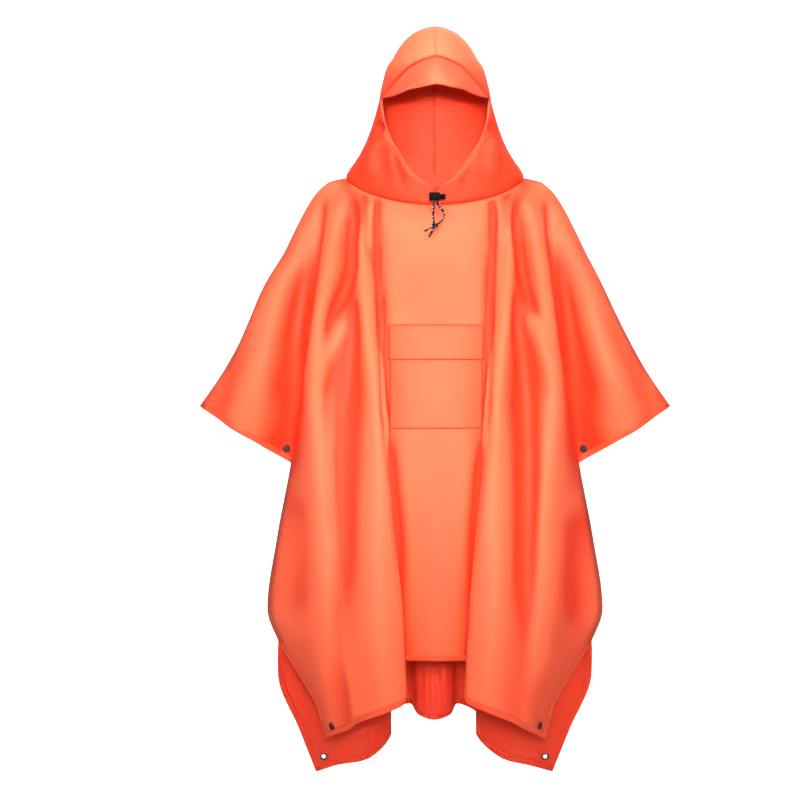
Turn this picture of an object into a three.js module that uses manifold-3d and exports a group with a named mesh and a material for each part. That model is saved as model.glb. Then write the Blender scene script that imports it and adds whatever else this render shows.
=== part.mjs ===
// A hooded rain poncho, worn with nobody in it: a front and a back panel that meet on the shoulder
// line and down the sides, open short sleeves, a two-piece hood with a visor, and a chest pocket.
import * as THREE from 'three';
import { mergeVertices } from 'three/addons/utils/BufferGeometryUtils.js';
import Module from 'manifold-3d';

const wasm = await Module();
wasm.setup();

// Driving dimensions, in millimetres. The front faces -Y and the shoulders' middle is the origin
const wall = 2;
const seam = 0.3;
const neckHalf = 174;
const neckFore = 95;
const neckAft = 78;
const neckDip = 60;
const napeRise = 12;
const tip = { out: 459, down: -445 };
const sleeveBottom = { out: 281, down: -555 };
const sleeveDepth = 62;
const parting = -901;
const pocket = { half: 88, top: -306, bottom: -487.5 };
const flap = { half: 90, top: -289.5, bottom: -357.5 };
const eyelet = { hole: 4.2, barrel: 5.2, ring: 8.2, high: 1.1 };
const eyelets = { front: { out: 197.5, down: -1052 }, back: { out: 220, down: -1141 } };
const stud = { out: 289, down: -527.5, cap: 7.5, high: 2.4, post: 2.4, socket: 5.6 };
const cordLock = { height: -44.5, radius: 9, left: -13, right: 8, button: 6, buttonEnd: 19 };
const cordWidth = 4;
const turnedSides = 10;
const knot = { x: -2, y: -126.5, z: -102, radius: 6.5 };

const orange = new THREE.MeshStandardMaterial({ color: 0xf5663b, roughness: 0.5, metalness: 0 });
const visorOrange = new THREE.MeshStandardMaterial({ color: 0xf77a4e, roughness: 0.5, metalness: 0 });
const black = new THREE.MeshStandardMaterial({ color: 0x17171a, roughness: 0.45, metalness: 0 });
const cordBlack = new THREE.MeshStandardMaterial({ color: 0x1b1b20, roughness: 0.85, metalness: 0 });
const bronze = new THREE.MeshStandardMaterial({ color: 0x4a2f22, roughness: 0.4, metalness: 0.9 });

// Heights at which each fold's place is given
const levels = [-150, -310, -430, -555, -700, -899, -1000];

// Folds of the front from the centre out: distance from the centre line, depth forward, and the
// hem point; neck is the share of the neck ring's quarter turn where the fold starts
const frontFolds = [
  { name: 'centre', neck: 0, steps: 0, left: 0,
    out: [0, 0, 0, 0, 0, 0], fore: [138, 156, 163, 160, 152, 142], hem: [0, 140, -928] },
  { name: 'flat', neck: 0.24, steps: 2, left: 0,
    out: [60, 60, 58, 54, 46, 36], fore: [134, 152, 158, 155, 146, 134], hem: [33, 132, -928] },
  { name: 'root', neck: 0.45, steps: 3, left: 2,
    out: [115, 117, 111, 102, 90, 78], fore: [121, 136, 138, 134, 124, 108], hem: [73, 104, -936] },
  { name: 'lip', neck: 0.5, steps: 2, left: 2,
    out: [110, 98, 91, 80, 67, 58], fore: [130, 162, 178, 184, 188, 190], hem: [54, 192, -998] },
  { name: 'first pipe', neck: 0.6, steps: 3, left: -3,
    out: [139, 128, 115, 111, 109, 102], fore: [139, 180, 198, 206, 210, 214], hem: [95, 212, -1017] },
  { name: 'long valley', neck: 0.68, steps: 2, left: 4,
    out: [148, 159, 168, 174, 170, 162], fore: [131, 147, 155, 161, 172, 186], hem: [143, 188, -1038] },
  { name: 'slanting valley', neck: 0.76, steps: 2, left: -4,
    out: [161, 202, 208, 207, 201, 190, 175], fore: [110, 146, 158, 166, 172, 176, 172],
    hem: [170, 168, -1055] },
  { name: 'second pipe', neck: 1.12, steps: 3, left: 3,
    out: [196, 223, 227, 229, 229, 220, 205], fore: [112, 140, 150, 152, 150, 140, 132],
    hem: [192, 128, -1069] },
];

// Folds of the back, in the same columns, with depth counted backward
const backFolds = [
  { name: 'centre', neck: 0, steps: 0, left: 0,
    out: [0, 0, 0, 0, 0, 0, 0], fore: [110, 122, 126, 124, 120, 118, 118], hem: [0, 118, -1071] },
  { name: 'inner', neck: 0.14, steps: 2, left: 0,
    out: [32, 33, 33, 33, 33, 32, 32], fore: [114, 128, 133, 133, 131, 131, 133], hem: [32, 134, -1062] },
  { name: 'ridge', neck: 0.3, steps: 2, left: 2,
    out: [64, 62, 58, 56, 54, 51, 49], fore: [122, 142, 150, 156, 160, 164, 166], hem: [47, 168, -1044] },
  { name: 'root', neck: 0.44, steps: 2, left: 3,
    out: [94, 99, 101, 101, 100, 97, 96], fore: [120, 139, 145, 148, 151, 154, 155], hem: [95, 156, -1068] },
  { name: 'lip', neck: 0.5, steps: 2, left: 3,
    out: [106, 108, 105, 102, 96, 88, 85], fore: [112, 127, 128, 128, 126, 124, 124], hem: [84, 124, -1100] },
  { name: 'lobe', neck: 0.66, steps: 3, left: -4,
    out: [138, 145, 148, 150, 148, 140, 136], fore: [98, 112, 114, 112, 106, 100, 98], hem: [133, 97, -1144] },
  { name: 'outer', neck: 1.17, steps: 3, left: 5,
    out: [192, 208, 216, 222, 224, 212, 200], fore: [94, 112, 118, 114, 104, 94, 92], hem: [188, 92, -1158] },
];

// How far the shoulder falls from the neck to its bend
const shoulderDrop = 8;

// Line between body and sleeve, and below it the side edge: height, distance out, depth
const bodyLine = [
  { z: -shoulderDrop, out: 207, fore: 0 },
  { z: -150, out: 228, fore: 74 },
  { z: -310, out: 250, fore: 72 },
  { z: -430, out: 264, fore: 48 },
  { z: sleeveBottom.down, out: sleeveBottom.out, fore: 0 },
  { z: -700, out: 308, fore: 0 },
  { z: -840, out: 327, fore: 0 },
  { z: parting, out: 306, fore: 0 },
];
const frontCorner = [
  { z: -970, out: 261, fore: 45 },
  { z: -1021, out: 228, fore: 84 },
  { z: -1080, out: 210, fore: 108 },
];
const backCorner = [
  { z: -971, out: 308, fore: 40 },
  { z: -1085, out: 268, fore: 84 },
  { z: -1172, out: 235, fore: 104 },
];

// Shoulder fold from the shoulder's bend to the sleeve's tip
const shoulderFold = [
  { share: 0, out: 207, z: -shoulderDrop },
  { share: 0.1, out: 230, z: -28 },
  { share: 0.45, out: 312, z: -183 },
  { share: 0.85, out: 408, z: -370 },
  { share: 1, out: tip.out, z: tip.down },
];

// Hood outline by height: half width, depth forward and backward of the shoulder line
const hoodForm = [
  { z: -60, half: 174, fore: 95, aft: 78 },
  { z: 0, half: 174, fore: 102, aft: 78 },
  { z: 14, half: 168, fore: 108, aft: 82 },
  { z: 31, half: 156, fore: 116, aft: 86 },
  { z: 66, half: 136, fore: 128, aft: 94 },
  { z: 113, half: 119, fore: 136, aft: 102 },
  { z: 154, half: 108, fore: 136, aft: 106 },
  { z: 207, half: 95, fore: 128, aft: 102 },
  { z: 236, half: 80, fore: 112, aft: 92 },
  { z: 254, half: 69, fore: 98, aft: 82 },
  { z: 277, half: 47, fore: 70, aft: 58 },
  { z: 289, half: 25, fore: 40, aft: 30 },
  { z: 295, half: 4, fore: 8, aft: 6 },
];

// Edge of the face opening, then the arch where the visor is sewn in
const faceEdge = [
  { z: -26, out: 0 },
  { z: -19, out: 17 },
  { z: 4, out: 44 },
  { z: 42, out: 71 },
  { z: 103, out: 102 },
  { z: 149, out: 103 },
  { z: 167, out: 86 },
  { z: 184, out: 69 },
  { z: 202, out: 50 },
  { z: 212, out: 30 },
  { z: 220, out: 10 },
  { z: 222, out: 0 },
];
const visorCorner = 149;
const archTop = faceEdge[faceEdge.length - 1].z;

// Soft dimple in each cheek of the hood: where it is, how wide and tall, and its depth on each side
const dimple = { angle: 1.12, wide: 0.14, height: 82, tall: 32, left: 9, right: 7 };

// Peak of the visor: reach forward and down, rise of its middle, and the gap it leaves to the hood
const peak = { fore: 58, down: 58, rise: 7, half: 103, thick: 1.6, inset: 0.4, nearGap: 0.5, freeGap: 2 };

// A smooth line through knots that never overshoots them
function smooth(knots, values, at) {
  const last = knots.length - 1;
  const turn = knots[last] > knots[0] ? 1 : -1;
  if ((at - knots[0]) * turn <= 0) return values[0];
  if ((at - knots[last]) * turn >= 0) return values[last];
  let k = 0;
  while ((knots[k + 1] - at) * turn < 0) k += 1;
  const slope = (i) => (values[i + 1] - values[i]) / (knots[i + 1] - knots[i]);
  const tangent = (i) => {
    if (i === 0) return slope(0);
    if (i === last) return slope(last - 1);
    const before = slope(i - 1);
    const after = slope(i);
    return before * after <= 0 ? 0 : (2 * before * after) / (before + after);
  };
  const span = knots[k + 1] - knots[k];
  const t = (at - knots[k]) / span;
  const h = (1 - t) * (1 - t);
  return h * (1 + 2 * t) * values[k] + h * t * span * tangent(k)
    + t * t * (3 - 2 * t) * values[k + 1] - t * t * (1 - t) * span * tangent(k + 1);
}

function column(rows, key, name, at) {
  return smooth(rows.map((row) => row[key]), rows.map((row) => row[name]), at);
}

// A sheet of points and triangles; a point's lock keeps its wall in the plane of its seam
class Sheet {
  constructor() {
    this.points = [];
    this.locks = [];
    this.faces = [];
  }

  add(point, lock = '') {
    this.points.push(point);
    this.locks.push(lock);
    return this.points.length - 1;
  }

  face(a, b, c, flip) {
    if (a === b || b === c || a === c) return;
    this.faces.push(flip ? [a, c, b] : [a, b, c]);
  }

  // Rows of point numbers become triangles; outward is to the right of the way down the rows
  fill(rows, flip) {
    for (let i = 0; i < rows.length - 1; i += 1) {
      for (let j = 0; j < rows[i].length - 1; j += 1) {
        const [a, b, c, d] = [rows[i][j], rows[i][j + 1], rows[i + 1][j + 1], rows[i + 1][j]];
        this.face(a, d, c, flip);
        this.face(a, c, b, flip);
      }
    }
  }

  // Triangles between an upper and a lower row of unlike counts, each with its places in order
  zip(upper, upperAt, lower, lowerAt, flip) {
    let i = 0;
    let j = 0;
    while (i < upper.length - 1 || j < lower.length - 1) {
      const step = j === lower.length - 1 || (i < upper.length - 1 && upperAt[i + 1] <= lowerAt[j + 1]);
      this.face(upper[i], lower[j], step ? upper[i + 1] : lower[j + 1], flip);
      if (step) i += 1;
      else j += 1;
    }
  }

  normals() {
    const sums = this.points.map(() => new THREE.Vector3());
    const triangle = new THREE.Triangle();
    for (const [a, b, c] of this.faces) {
      triangle.set(this.points[a], this.points[b], this.points[c]);
      const normal = triangle.getNormal(new THREE.Vector3()).multiplyScalar(triangle.getArea());
      for (const corner of [a, b, c]) sums[corner].add(normal);
    }
    sums.forEach((sum, i) => {
      if (this.locks[i] !== '') sum[this.locks[i]] = 0;
      sum.normalize();
    });
    return sums;
  }

  // The outer face, the same face moved in by the wall, and a strip round every open edge
  solid(thick = wall) {
    const normals = this.normals();
    const count = this.points.length;
    const inner = this.points.map((point, i) => point.clone().addScaledVector(normals[i], -thick));
    const corners = [...this.points, ...inner];
    const index = [];
    const edges = new Map();
    for (const [a, b, c] of this.faces) {
      index.push(a, b, c, a + count, c + count, b + count);
      for (const [from, to] of [[a, b], [b, c], [c, a]]) {
        if (edges.has(`${to},${from}`)) edges.delete(`${to},${from}`);
        else edges.set(`${from},${to}`, [from, to]);
      }
    }
    for (const [from, to] of edges.values()) {
      index.push(to, from, from + count, to, from + count, to + count);
    }
    return bodyOf(corners, index);
  }
}

function bodyOf(corners, index) {
  const geometry = new THREE.BufferGeometry();
  const numbers = corners.flatMap((p) => [p.x, p.y, p.z]);
  geometry.setAttribute('position', new THREE.Float32BufferAttribute(numbers, 3));
  geometry.setIndex(index);
  return geometry;
}

// The neck ring, where hood and panels meet: turn 0 at the throat or nape, 1 on the shoulder line
function neckPoint(turn, face) {
  const angle = (turn * Math.PI) / 2;
  const level = Math.cos(angle);
  const z = face < 0 ? -neckDip * level ** 1.3 : napeRise * level ** 1.3;
  const depth = face < 0 ? neckFore : neckAft;
  return new THREE.Vector3(neckHalf * Math.sin(angle), face * Math.max(seam / 2, depth * level), z);
}

// One panel of the body. face is -1 for the front and 1 for the back
function makePanel(folds, corner, face) {
  const sideRows = [...bodyLine, ...corner];
  const last = folds.length;
  const rowSlant = 90;
  const rowParts = [
    { rows: 12, to: () => sleeveBottom.down },
    { rows: 7, to: (k) => parting + rowSlant * (1 - k / last) },
    { rows: 5, to: (k) => hemOf(k) },
  ];

  function hemOf(k) {
    return k === last ? corner[corner.length - 1].z : folds[k].hem[2];
  }

  // The top edge: on the neck ring up to a turn of 1, then along the shoulder to the bend at 2
  function topAt(turn) {
    if (turn <= 1) return neckPoint(turn, face).add(new THREE.Vector3(0, 0, -seam / 2));
    const out = THREE.MathUtils.lerp(neckHalf, bodyLine[0].out, turn - 1);
    return new THREE.Vector3(out, (face * seam) / 2, -seam / 2 - shoulderDrop * (turn - 1));
  }

  function turnOf(v) {
    const k = Math.min(Math.floor(v), last - 1);
    const next = k + 1 < last ? folds[k + 1].neck : 2;
    return THREE.MathUtils.lerp(folds[k].neck, next, v - k);
  }

  function topOf(k) {
    return topAt(k === last ? 2 : folds[k].neck);
  }

  // Where fold k of one side is at a height
  function foldAt(k, side, z) {
    const half = seam / 2;
    if (k === last) {
      const out = column(sideRows, 'z', 'out', z);
      return new THREE.Vector3(side * out, face * Math.max(half, column(sideRows, 'z', 'fore', z)), z);
    }
    const fold = folds[k];
    const top = topOf(k);
    const knots = [top.z, ...levels.slice(0, fold.out.length), fold.hem[2]];
    const outs = [top.x, ...fold.out, fold.hem[0]];
    const fores = [Math.abs(top.y), ...fold.fore, fold.hem[1]];
    const share = side < 0 ? THREE.MathUtils.smoothstep(-z, 60, 320) * fold.left : 0;
    const y = face * Math.max(half, smooth(knots, fores, z) + share);
    return new THREE.Vector3(side * (smooth(knots, outs, z) + share), y, z);
  }

  // Height of row r on fold k
  function rowHeight(k, r) {
    let from = topOf(k).z;
    let start = 0;
    for (const part of rowParts) {
      if (r <= start + part.rows) return THREE.MathUtils.lerp(from, part.to(k), (r - start) / part.rows);
      start += part.rows;
      from = part.to(k);
    }
    return from;
  }

  // Place v runs from -last on one side through 0 at the centre to last on the other
  function across(v, heightOf) {
    const side = v < 0 ? -1 : 1;
    const k = Math.min(Math.floor(Math.abs(v)), last - 1);
    const place = [k - 1, k, k + 1, k + 2].map((n) => {
      if (n < 0) return foldAt(1, -side, heightOf(1));
      return foldAt(Math.min(n, last), side, heightOf(Math.min(n, last)));
    });
    if (k + 2 > last) place[3].add(place[2]).sub(place[1]);
    const curve = new THREE.CatmullRomCurve3(place, false, 'centripetal');
    return curve.getPoint((1 + Math.abs(v) - k) / 3);
  }

  const stops = [0];
  folds.concat({ steps: 3 }).forEach((fold, k) => {
    for (let n = 1; n <= fold.steps; n += 1) stops.push(k - 1 + n / fold.steps);
  });
  const places = [...stops.slice(1).map((v) => -v).reverse(), ...stops];
  const total = rowParts.reduce((sum, part) => sum + part.rows, 0);
  const closedFrom = rowParts[0].rows;
  const closedTo = closedFrom + rowParts[1].rows;

  const sheet = new Sheet();
  const grid = [];
  for (let r = 0; r <= total; r += 1) {
    grid.push(places.map((v) => {
      const turn = turnOf(Math.abs(v));
      const point = r === 0 ? topAt(turn) : across(v, (k) => rowHeight(k, r));
      if (r === 0 && v < 0) point.x *= -1;
      const shut = r === 0 ? turn >= 1 : Math.abs(v) === last && r >= closedFrom && r <= closedTo;
      return sheet.add(point, shut ? 'y' : '');
    }));
  }
  sheet.fill(grid, face > 0);

  // The sleeve: a three-cornered patch from the body line out to the tip
  for (const side of [-1, 1]) {
    const line = grid.slice(0, closedFrom + 1).map((row) => row[side < 0 ? 0 : row.length - 1]);
    const rows = [line];
    const bend = sheet.points[line[0]];
    const bottom = sheet.points[line[closedFrom]];
    for (let c = 1; c <= closedFrom; c += 1) {
      const u = c / closedFrom;
      const above = new THREE.Vector3(side * column(shoulderFold, 'share', 'out', u), 0,
        column(shoulderFold, 'share', 'z', u));
      const below = new THREE.Vector3(side * THREE.MathUtils.lerp(sleeveBottom.out, tip.out, u), 0,
        THREE.MathUtils.lerp(sleeveBottom.down, tip.down, u));
      const strip = [];
      for (let r = 0; r <= closedFrom - c; r += 1) {
        const w = c === closedFrom ? 0 : r / (closedFrom - c);
        const at = w * closedFrom;
        const low = Math.min(Math.floor(at), closedFrom - 1);
        const onLine = sheet.points[line[low]].clone().lerp(sheet.points[line[low + 1]], at - low);
        const chord = bend.clone().lerp(bottom, w);
        const point = above.clone().lerp(below, w).addScaledVector(onLine.clone().sub(chord), 1 - u);
        const billow = sleeveDepth * Math.sin(Math.PI * u ** 0.8) * THREE.MathUtils.smoothstep(u, -0.1, 0.4);
        const round = Math.sqrt(1 - (1 - w) ** 2.2);
        const depth = Math.abs(onLine.y) * (1 - u) ** 1.2 + billow * round;
        point.y = face * Math.max(seam / 2, depth);
        strip.push(sheet.add(point, r === 0 ? 'y' : ''));
      }
      rows.push(strip);
    }
    const flip = side * face < 0;
    for (let c = 0; c < closedFrom; c += 1) {
      for (let r = 0; r < rows[c].length - 1; r += 1) {
        sheet.face(rows[c][r], rows[c][r + 1], rows[c + 1][r], !flip);
        if (r < rows[c + 1].length - 1) sheet.face(rows[c][r + 1], rows[c + 1][r + 1], rows[c + 1][r], !flip);
      }
    }
  }

  // The panel's face at a place given by x and z, and its outward direction
  function at(x, z) {
    const side = x < 0 ? -1 : 1;
    let low = 0;
    let high = 2;
    for (let n = 0; n < 30; n += 1) {
      const middle = (low + high) / 2;
      if (Math.abs(across(side * middle, () => z).x) < Math.abs(x)) low = middle;
      else high = middle;
    }
    return across(side * low, () => z);
  }

  const neckTurns = stops.map((v) => turnOf(v)).filter((turn) => turn < 1.001);
  return { sheet, at, neckTurns };
}

// A cloth that lies on the front panel, moved out from the panel's own points
function onFront(panel, area, columns, rows, lift) {
  const sheet = new Sheet();
  const step = 1;
  const grid = [];
  for (let r = 0; r <= rows; r += 1) {
    const z = THREE.MathUtils.lerp(area.top, area.bottom, r / rows);
    const line = [];
    for (let c = 0; c <= columns; c += 1) {
      const x = THREE.MathUtils.lerp(-area.half, area.half, c / columns);
      const point = panel.at(x, z);
      const right = panel.at(x + step, z).sub(panel.at(x - step, z));
      const up = panel.at(x, z + step).sub(panel.at(x, z - step));
      const outward = right.cross(up).normalize();
      line.push(sheet.add(point.addScaledVector(outward, lift(z) + wall)));
    }
    grid.push(line);
  }
  sheet.fill(grid, false);
  return sheet.solid();
}

// One side panel of the hood, from the neck ring to the crown
const hoodHeights = [0, 10, 24, 42, 64, 88, 114, 136, 149, 167, 184, 202, 214, 222, 240, 258, 274, 287, 295];
const hoodSteps = 12;
const crownHeight = 296.5;

function hoodPoint(height, angle) {
  const share = angle / Math.PI;
  const turn = share < 0.5 ? share * 2 : 2 - share * 2;
  const ring = neckPoint(turn, share < 0.5 ? -1 : 1);
  const fade = THREE.MathUtils.clamp(1 - height / 64, 0, 1) ** 1.6;
  const z = height + (ring.z + seam / 2) * fade;
  const half = column(hoodForm, 'z', 'half', z);
  const fore = column(hoodForm, 'z', 'fore', z);
  const aft = column(hoodForm, 'z', 'aft', z);
  const depth = share < 0.5 ? fore : aft;
  if (height === 0) return new THREE.Vector3(ring.x, ring.y, z);
  return new THREE.Vector3(half * Math.sin(angle), -depth * Math.cos(angle), z);
}

function edgeAngle(height) {
  let angle = 0;
  for (let n = 0; n < 12; n += 1) {
    const z = hoodPoint(height, angle).z;
    if (z < faceEdge[0].z || z > archTop) return 0;
    const reach = column(faceEdge, 'z', 'out', z) / column(hoodForm, 'z', 'half', z);
    angle = Math.asin(Math.min(reach, 1));
  }
  return angle;
}

function makeHoodSide(side, neckAngles) {
  const sheet = new Sheet();
  const edge = [];
  const evenly = Array.from({ length: hoodSteps + 1 }, (_, c) => c / hoodSteps);
  const grid = hoodHeights.map((height) => {
    const start = edgeAngle(height);
    const angles = height === 0 ? neckAngles : evenly.map((c) => THREE.MathUtils.lerp(start, Math.PI, c));
    const line = [];
    angles.forEach((angle, c) => {
      const point = hoodPoint(height, angle);
      const onCentre = c === angles.length - 1 || (c === 0 && start === 0);
      const aside = (angle - dimple.angle) / dimple.wide;
      const above = (point.z - dimple.height) / dimple.tall;
      point.x -= (side < 0 ? dimple.left : dimple.right) * Math.exp(-(aside ** 2) - above ** 2);
      if (onCentre) point.x = seam / 2;
      point.x = Math.max(point.x, seam / 2) * side;
      line.push(sheet.add(point, onCentre ? 'x' : height === 0 ? 'z' : ''));
    });
    if (height >= visorCorner && height <= archTop) {
      const inward = sheet.points[line[1]].clone().sub(sheet.points[line[0]]).normalize();
      edge.push({ point: sheet.points[line[0]].clone(), inward });
    }
    return line;
  });
  const [base, ...rest] = grid;
  sheet.zip(rest[0], evenly.map((c) => c * Math.PI), base, neckAngles, side < 0);
  const crown = sheet.add(new THREE.Vector3((side * seam) / 2, 0, crownHeight), 'x');
  rest.push(rest[rest.length - 1].map(() => crown));
  sheet.fill(rest, side > 0);
  return { sheet, edge };
}

// The visor runs from the arch seam forward and down to its free edge
function makeVisor(leftEdge, rightEdge) {
  const arch = [...leftEdge, ...rightEdge.slice(0, -1).reverse()];
  const sheet = new Sheet();
  const rows = [0, 0.34, 0.67, 1].map((t) => arch.map(({ point, inward }) => {
    const side = 1 - (Math.abs(point.x) / peak.half) ** 2.2;
    const bulge = Math.sin(Math.PI * t) * peak.rise * side;
    const gap = THREE.MathUtils.lerp(peak.nearGap, peak.freeGap, t);
    const y = -gap - t * peak.fore * side - bulge * 0.6;
    const z = -gap - t * peak.down * side ** 1.05 + bulge;
    const start = point.clone().addScaledVector(inward, -peak.inset);
    return sheet.add(start.add(new THREE.Vector3(0, y, z)));
  }));
  sheet.fill(rows, false);
  return sheet.solid(peak.thick);
}

// Where a straight look along Y meets the outside of a sheet
function touch(sheet, x, z, face) {
  const outside = 900;
  const skin = new THREE.Mesh(bodyOf(sheet.points, sheet.faces.flat()));
  skin.material.side = THREE.DoubleSide;
  const ray = new THREE.Raycaster(new THREE.Vector3(x, face * outside, z), new THREE.Vector3(0, -face, 0));
  const hit = ray.intersectObject(skin)[0];
  return { point: hit.point, normal: hit.face.normal.clone() };
}

function solidOf(geometry) {
  const bare = geometry.clone();
  bare.deleteAttribute('normal');
  bare.deleteAttribute('uv');
  const merged = mergeVertices(bare, 1e-4);
  const mesh = new wasm.Mesh({
    numProp: 3,
    vertProperties: new Float32Array(merged.getAttribute('position').array),
    triVerts: new Uint32Array(merged.getIndex().array),
  });
  return new wasm.Manifold(mesh);
}

function geometryOf(solid) {
  const mesh = solid.getMesh();
  const geometry = new THREE.BufferGeometry();
  geometry.setAttribute('position', new THREE.BufferAttribute(new Float32Array(mesh.vertProperties), 3));
  geometry.setIndex(new THREE.BufferAttribute(new Uint32Array(mesh.triVerts), 1));
  return geometry;
}

// A turned piece whose axis leaves a cloth along a direction
function turned(profile, place, direction) {
  const geometry = new THREE.LatheGeometry(profile.map(([r, h]) => new THREE.Vector2(r, h)), turnedSides);
  geometry.deleteAttribute('normal');
  geometry.deleteAttribute('uv');
  const turn = new THREE.Quaternion().setFromUnitVectors(new THREE.Vector3(0, 1, 0), direction);
  geometry.applyQuaternion(turn);
  geometry.translate(place.x, place.y, place.z);
  return geometry;
}

const group = new THREE.Group();

function addPiece(name, geometry, material) {
  const mesh = new THREE.Mesh(geometry, material);
  mesh.name = name;
  group.add(mesh);
}

const front = makePanel(frontFolds, frontCorner, -1);
const back = makePanel(backFolds, backCorner, 1);
const cloths = { front: solidOf(front.sheet.solid()), back: solidOf(back.sheet.solid()) };
const faces = [['front', front, -1], ['back', back, 1]];
const sides = [['left', -1], ['right', 1]];
const ply = wall + seam;

// Room for a flanged piece in the cloth, with the seam's gap all round it
function cutFor(outer, shaft, inner) {
  const clear = 0.05;
  const reach = 8;
  return [
    [0, -reach],
    [inner + seam, -reach],
    [inner + seam, -wall - clear],
    [shaft + seam, -wall - clear],
    [shaft + seam, clear],
    [outer + seam, clear],
    [outer + seam, reach],
    [0, reach],
  ];
}

// Eyelets: an outer and an inner flange joined by a barrel through the cloth
function addEyelets() {
  const innerRing = eyelet.ring - 0.6;
  const profile = [
    [eyelet.hole, -ply - eyelet.high],
    [innerRing, -ply - eyelet.high],
    [innerRing, -ply],
    [eyelet.barrel, -ply],
    [eyelet.barrel, seam],
    [eyelet.ring, seam],
    [eyelet.ring, seam + eyelet.high],
    [eyelet.hole, seam + eyelet.high],
    [eyelet.hole, -ply - eyelet.high],
  ];
  for (const [name, panel, face] of faces) {
    for (const [sideName, side] of sides) {
      const { point, normal } = touch(panel.sheet, side * eyelets[name].out, eyelets[name].down, face);
      const room = turned(cutFor(eyelet.ring, eyelet.barrel, eyelet.ring), point, normal);
      cloths[name] = cloths[name].subtract(solidOf(room));
      addPiece(`eyelet_${name}_${sideName}`, turned(profile, point, normal), bronze);
    }
  }
}

// Press studs: a cap outside, a post through the cloth and a round foot that meets its partner
function addStuds() {
  const rim = { high: 1.2, slope: 2 };
  for (const [name, panel, face] of faces) {
    for (const [sideName, side] of sides) {
      const { point } = touch(panel.sheet, side * stud.out, stud.down, face);
      const outward = new THREE.Vector3(0, face, 0);
      const middle = seam / 2 - Math.abs(point.y);
      const profile = [
        [0, middle],
        [stud.socket, middle],
        [stud.socket, -ply],
        [stud.post, -ply],
        [stud.post, seam],
        [stud.cap, seam],
        [stud.cap, seam + rim.high],
        [stud.cap - rim.slope, seam + stud.high],
        [0, seam + stud.high],
      ];
      const room = turned(cutFor(stud.cap, stud.post, stud.socket), point, outward);
      cloths[name] = cloths[name].subtract(solidOf(room));
      addPiece(`stud_${name}_${sideName}`, turned(profile, point, outward), black);
    }
  }
}

// Hood: two sides that start on the panels' neck ring, and the visor in the arch between them
function addHood() {
  const foreAngles = front.neckTurns.map((turn) => (turn * Math.PI) / 2);
  const aftAngles = back.neckTurns.map((turn) => Math.PI - (turn * Math.PI) / 2).reverse();
  const neckAngles = [...foreAngles, ...aftAngles.slice(1)];
  const left = makeHoodSide(-1, neckAngles);
  const right = makeHoodSide(1, neckAngles);
  addPiece('hood_left', left.sheet.solid(), orange);
  addPiece('hood_right', right.sheet.solid(), orange);
  addPiece('visor', makeVisor(left.edge, right.edge), visorOrange);
  return right.sheet;
}

// Pocket, and its flap that hangs over the pocket's top edge
function addPocket() {
  const rampLength = 7;
  const over = (z) => seam + (wall + seam) * THREE.MathUtils.smoothstep(flap.top - z, 0, rampLength);
  addPiece('pocket', onFront(front, pocket, 12, 8, () => seam), orange);
  addPiece('pocket_flap', onFront(front, flap, 12, 5, over), orange);
}

function roundBar(from, to, radius, y, z) {
  const bar = new THREE.CylinderGeometry(radius, radius, to - from, 16);
  return bar.rotateZ(Math.PI / 2).translate((from + to) / 2, y, z);
}

// Cord lock: a round barrel lying across the throat, with its button out on one side
function addCordLock(hoodSheet) {
  const beside = 3;
  const throat = touch(hoodSheet, beside, cordLock.height, -1).point;
  const y = throat.y - seam - cordLock.radius;
  const start = cordLock.right + seam;
  addPiece('cord_lock', roundBar(cordLock.left, cordLock.right, cordLock.radius, y, cordLock.height), black);
  addPiece('cord_lock_button', roundBar(start, cordLock.buttonEnd, cordLock.button, y, cordLock.height), black);
}

// Drawcord: two strands from the lock to the knot, and two free tails below it
function addDrawcord() {
  const routes = {
    drawcord_left: [[-3.5, -111, -53.9], [-3.8, -111, -62], [-4.2, -111, -70], [-4.6, -112, -78],
      [-4.4, -115, -86], [-3.4, -120, -94], [-2, -126.5, -102]],
    drawcord_right: [[3.5, -111, -53.9], [5, -111, -60], [9, -111, -66], [13.5, -111.5, -73],
      [15.6, -113, -80], [14, -116, -87], [8.5, -120, -93.5], [-2, -126.5, -102]],
    drawcord_tail_left: [[-2, -126.5, -102], [-10, -127.5, -106.5], [-16, -128.3, -109.5], [-22.8, -129, -113]],
    drawcord_tail_right: [[-2, -126.5, -102], [-5.5, -129, -109.5], [-9.5, -131.3, -116],
      [-13.3, -133.5, -123]],
  };
  const room = new THREE.SphereGeometry(knot.radius + seam, 12, 8).translate(knot.x, knot.y, knot.z);
  const ball = new THREE.SphereGeometry(knot.radius, 10, 6).translate(knot.x, knot.y, knot.z);
  const corners = 8;
  addPiece('drawcord_knot', ball, cordBlack);
  for (const [name, route] of Object.entries(routes)) {
    const path = new THREE.CatmullRomCurve3(route.map((p) => new THREE.Vector3(...p)));
    const section = new THREE.Shape();
    for (let n = 0; n < corners; n += 1) {
      const angle = (2 * n * Math.PI) / corners;
      section[n === 0 ? 'moveTo' : 'lineTo'](Math.cos(angle) * cordWidth / 2, Math.sin(angle) * cordWidth / 2);
    }
    const tube = new THREE.ExtrudeGeometry(section, { extrudePath: path, steps: route.length });
    addPiece(name, geometryOf(solidOf(tube).subtract(solidOf(room))), cordBlack);
  }
}

addEyelets();
addStuds();
addPiece('front_panel', geometryOf(cloths.front), orange);
addPiece('back_panel', geometryOf(cloths.back), orange);
const hoodSheet = addHood();
addPocket();
addCordLock(hoodSheet);
addDrawcord();

export default group;
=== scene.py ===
import math
import bmesh
import bpy
from mathutils import Matrix, Vector, noise
from mathutils.bvhtree import BVHTree


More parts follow.
